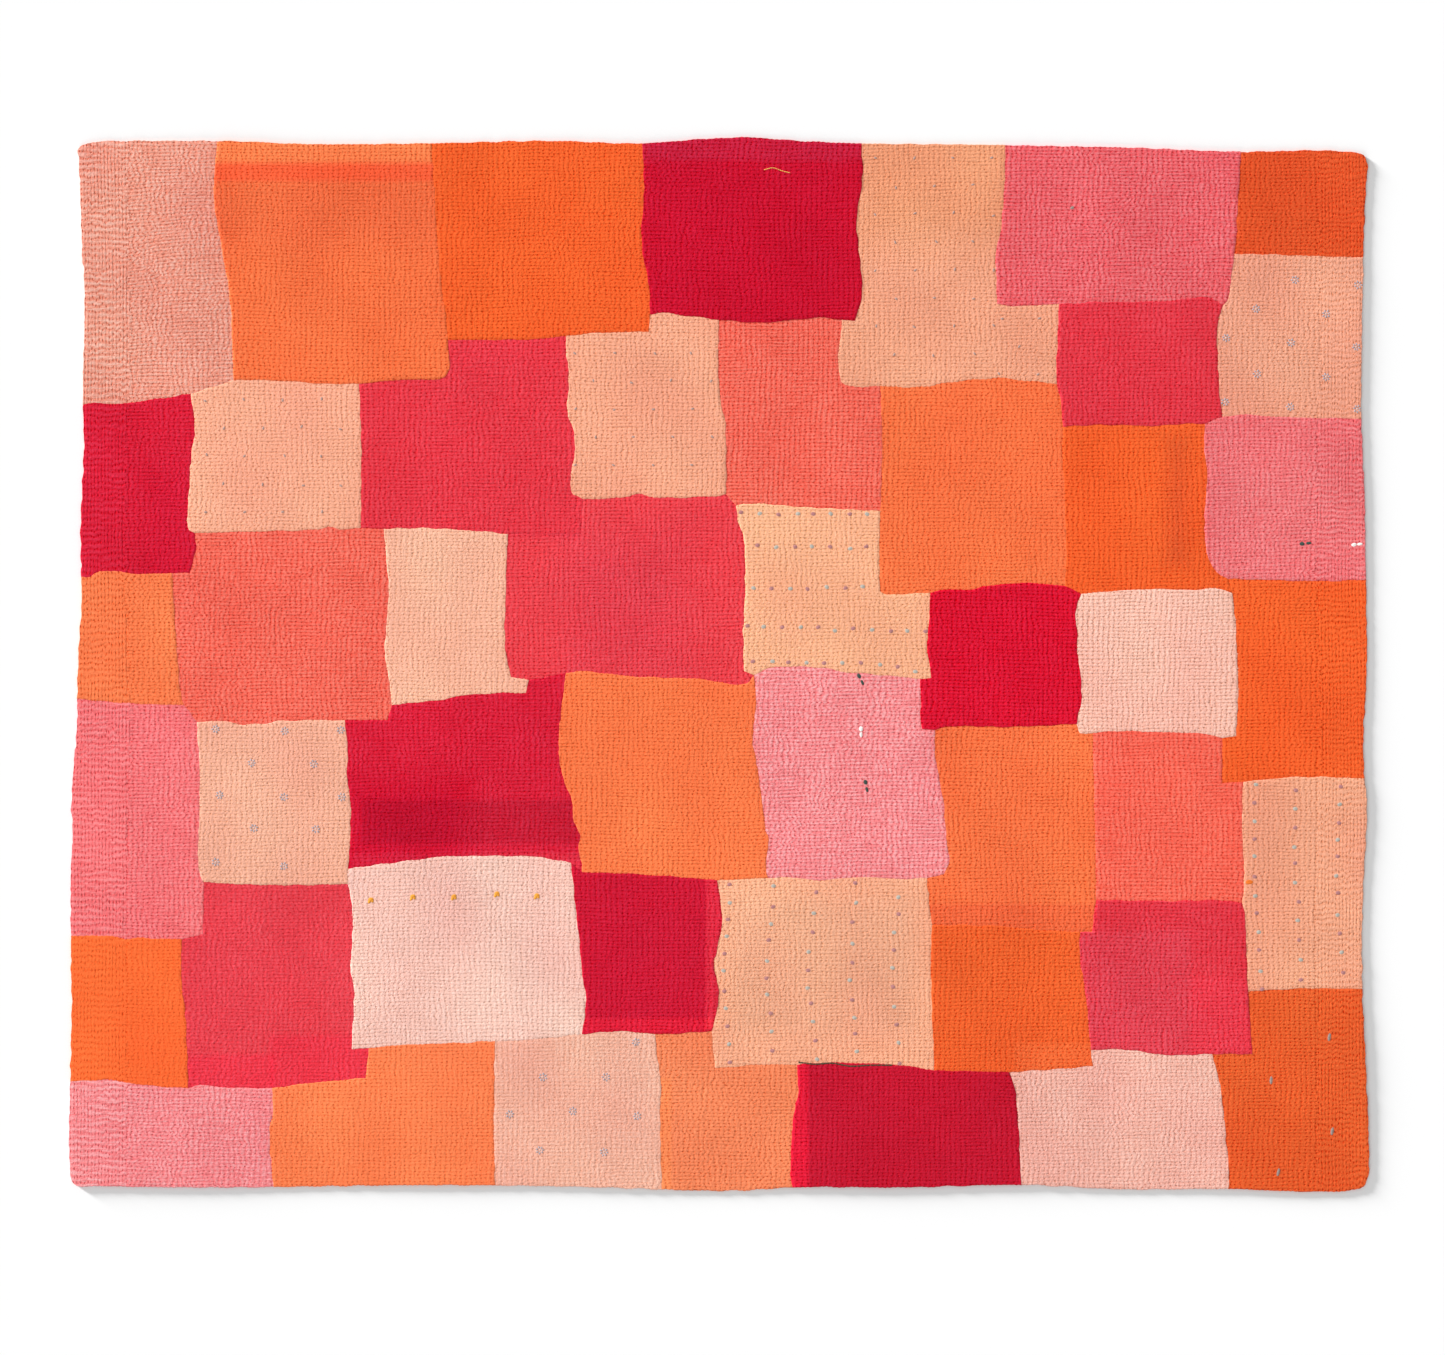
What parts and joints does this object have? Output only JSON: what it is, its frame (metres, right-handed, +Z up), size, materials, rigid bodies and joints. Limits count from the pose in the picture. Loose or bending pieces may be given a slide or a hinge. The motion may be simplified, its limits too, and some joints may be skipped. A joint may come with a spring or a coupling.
{
  "type": "kantha quilt",
  "caption": "Rectangular patchwork kantha quilt lying flat, layered cotton with running-stitch ripples, wavering hand-sewn edge and side bands stitched along the sides.",
  "frame": {"origin": "middle of the quilt's box at the level of its flat underside, where it lies on a surface", "axes": "+X across the quilt along its long sides, to the right as seen from above; +Y towards its top edge; +Z up, out of the patchwork face"},
  "size_m": [2.2001, 1.7843, 0.0048],
  "materials": {
    "patchwork_cotton": "matte worn cotton, running stitch"
  },
  "bodies": {
    "root": {"quilt": "patchwork_cotton"}
  },
  "joints": []
}
